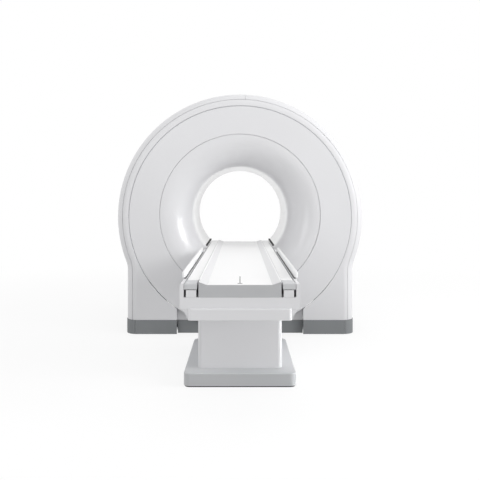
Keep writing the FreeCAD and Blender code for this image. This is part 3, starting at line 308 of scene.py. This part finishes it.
def barSection(width, height):
    # the outline of a bar, seen along it: rounded shoulders, a slim groove low on each side, eased foot
    half = width / 2
    foot = sideBar["foot"]
    shoulder = min(sideBar["shoulder"], half * sideBar["shoulderShare"])
    lift, gap, depth = sideBar["grooveLift"], sideBar["grooveHalf"], sideBar["grooveDepth"]
    turns = quarterTurn(sideBar["turnSteps"])
    side = [(half - foot + foot * math.sin(turn), foot - foot * math.cos(turn)) for turn in turns]
    side += [(half, lift - gap), (half - depth, lift - gap * sideBar["grooveFloor"]),
             (half - depth, lift + gap * sideBar["grooveFloor"]), (half, lift + gap)]
    side += [(half - shoulder + shoulder * math.cos(turn), height - shoulder + shoulder * math.sin(turn))
             for turn in turns]
    return side + [(-x, z) for x, z in reversed(side)]


def makeBar(name):
    # sections along the bar, which shrink towards each end as a quarter ellipse
    low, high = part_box(name)
    middle = (low[0] + high[0]) / 2
    section = barSection(high[0] - low[0], high[2] - low[2])
    nose = [(sideBar["nose"] * (1 - math.cos(turn)), math.sin(turn))
            for turn in quarterTurn(sideBar["noseRings"])]
    stations = [(low[1] + away, full) for away, full in nose]
    stations += [(high[1] - away, full) for away, full in reversed(nose)]
    mesh = bmesh.new()
    rings = []
    for y, full in stations:
        wide = sideBar["widthLeft"] + (1 - sideBar["widthLeft"]) * full
        tall = sideBar["heightLeft"] + (1 - sideBar["heightLeft"]) * full
        rings.append([mesh.verts.new((middle + x * wide, y, low[2] + z * tall)) for x, z in section])
    for first, second in zip(rings, rings[1:]):
        for index in range(len(section)):
            after = (index + 1) % len(section)
            mesh.faces.new((first[index], first[after], second[after], second[index]))
    mesh.faces.new(rings[0])
    mesh.faces.new(tuple(reversed(rings[-1])))
    bmesh.ops.recalc_face_normals(mesh, faces=mesh.faces)
    data = bpy.data.meshes.new(name + "_rounded")
    mesh.to_mesh(data)
    mesh.free()
    data.shade_smooth()
    data.set_sharp_from_angle(angle=math.radians(sideBar["sharpOver"]))
    data.materials.append(barPowder)
    bar = bpy.data.objects.new(name + "_rounded", data)
    bpy.context.scene.collection.objects.link(bar)
    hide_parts(name)
    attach(bar, "table_lift")


for name in ("side_bar_left", "side_bar_right"):
    makeBar(name)
print("side bars")

# A white room: the floor glows with the walls so that neither shows an edge, a softbox lies overhead, and the
# key comes from the right. Places in metres, powers in watts, spreads in degrees.
studio = {
    "white": (1.0, 1.0, 1.0, 1.0), "wall": 1.0, "ambientLow": 0.46, "ambientHigh": 1.12,
    "floorHalf": 60.0, "floorMiddle": (0.0, -0.8, 0.0), "floorColour": "#F6F6F6",
    "floorRoughness": 0.9, "floorSheen": 0.2,
    "glowNear": 0.8, "fadeFrom": 2.2, "fadeTo": 5.5,
    "bounceNear": 0.3, "bounceFar": 0.9, "bounceFrom": 0.8, "bounceTo": 5.0,
}
lights = {
    "key": {"place": (5.9, -3.4, 2.5), "aim": (0.2, -0.8, 0.7), "size": 2.6, "power": 190, "spread": 180},
    "side": {"place": (4.5, -2.2, 1.1), "aim": (0.3, -2.2, 0.35), "size": 0.8, "power": 3.0, "spread": 36},
    "fill": {"place": (-3.6, -5.2, 1.5), "aim": (0.2, -0.6, 0.9), "size": 2.0, "power": 20, "spread": 180},
}


def floorMaterial():
    # matt white paint that runs out into the white of the backdrop, so that no horizon shows
    made, tree, surface = newMaterial("mattWhiteStudioFloor", {
        "Base Color": hexToLinear(studio["floorColour"]), "Roughness": studio["floorRoughness"],
        "Specular IOR Level": studio["floorSheen"]})
    place = addNode(tree, "ShaderNodeTexCoord").outputs["Object"]
    middle = addNode(tree, "ShaderNodeVectorMath", {0: place, 1: studio["floorMiddle"]}, operation="DISTANCE")
    fade = addNode(tree, "ShaderNodeMapRange", {
        "Value": middle.outputs["Value"], "From Min": studio["fadeFrom"], "From Max": studio["fadeTo"],
        "To Min": studio["glowNear"], "To Max": 1.0}, interpolation_type="SMOOTHSTEP")
    glow = addNode(tree, "ShaderNodeEmission", {"Strength": studio["wall"]})
    both = addNode(tree, "ShaderNodeMixShader", {
        0: fade.outputs["Result"], 1: surface.outputs["BSDF"], 2: glow.outputs["Emission"]})
    # what the floor throws back on the object is dimmer near it, so that low pieces aren't washed out
    dimmer = addNode(tree, "ShaderNodeMapRange", {
        "Value": middle.outputs["Value"], "From Min": studio["bounceFrom"], "From Max": studio["bounceTo"],
        "To Min": studio["bounceNear"], "To Max": studio["bounceFar"]})
    bounce = addNode(tree, "ShaderNodeEmission", {"Strength": dimmer.outputs["Result"]})
    scattered = addNode(tree, "ShaderNodeLightPath").outputs["Is Diffuse Ray"]
    shown = addNode(tree, "ShaderNodeMixShader", {
        0: scattered, 1: both.outputs["Shader"], 2: bounce.outputs["Emission"]})
    output = next(node for node in tree.nodes if node.bl_idname == "ShaderNodeOutputMaterial")
    tree.links.new(shown.outputs["Shader"], output.inputs["Surface"])
    return made


def makeFloor():
    mesh = bpy.data.meshes.new("floor")
    half = studio["floorHalf"]
    corners = [(-half, -half, 0), (half, -half, 0), (half, half, 0), (-half, half, 0)]
    mesh.from_pydata(corners, [], [(0, 1, 2, 3)])
    floor = bpy.data.objects.new("floor", mesh)
    bpy.context.scene.collection.objects.link(floor)
    mesh.materials.append(floorMaterial())


def areaLight(name, spec):
    data = bpy.data.lights.new(name, "AREA")
    data.shape = "DISK"
    data.size = spec["size"]
    data.energy = spec["power"]
    data.spread = math.radians(spec["spread"])
    light = bpy.data.objects.new(name, data)
    light.location = spec["place"]
    light.rotation_euler = (Vector(spec["aim"]) - Vector(spec["place"])).to_track_quat("-Z", "Y").to_euler()
    bpy.context.scene.collection.objects.link(light)


def makeWorld():
    # diffuse light comes from the softbox, which is brighter overhead; all else sees the white walls
    world = bpy.data.worlds.new("studio")
    world.use_nodes = True
    tree = world.node_tree
    tree.nodes.clear()
    place = addNode(tree, "ShaderNodeTexCoord").outputs["Generated"]
    height = addNode(tree, "ShaderNodeSeparateXYZ", {"Vector": place}).outputs["Z"]
    ambient = addNode(tree, "ShaderNodeMapRange", {
        "Value": height, "To Min": studio["ambientLow"], "To Max": studio["ambientHigh"]})
    backdrop = addNode(tree, "ShaderNodeBackground", {"Color": studio["white"], "Strength": studio["wall"]})
    softbox = addNode(tree, "ShaderNodeBackground", {
        "Color": studio["white"], "Strength": ambient.outputs["Result"]})
    sky = addNode(tree, "ShaderNodeMixShader", {
        0: addNode(tree, "ShaderNodeLightPath").outputs["Is Diffuse Ray"],
        1: backdrop.outputs["Background"], 2: softbox.outputs["Background"]})
    addNode(tree, "ShaderNodeOutputWorld", {"Surface": sky.outputs["Shader"]})
    bpy.context.scene.world = world


# level, along +Y, with the frame shifted down instead of a tilt, so that uprights stay upright
lens = {
    "focal": 42.0, "sensor": 36.0, "shiftY": -0.0896,
    "place": (0.0, -5.321, 1.118), "turn": (math.radians(90), 0.0, 0.0),
}


def makeCamera():
    data = bpy.data.cameras.new("view")
    data.lens = lens["focal"]
    data.sensor_width = lens["sensor"]
    data.shift_y = lens["shiftY"]
    camera = bpy.data.objects.new("view", data)
    camera.location = lens["place"]
    camera.rotation_euler = lens["turn"]
    bpy.context.scene.collection.objects.link(camera)
    bpy.context.scene.camera = camera


makeFloor()
for name, spec in lights.items():
    areaLight(name, spec)
makeWorld()
makeCamera()
bpy.context.scene.view_settings.view_transform = "Standard"
print("floor, light and camera")
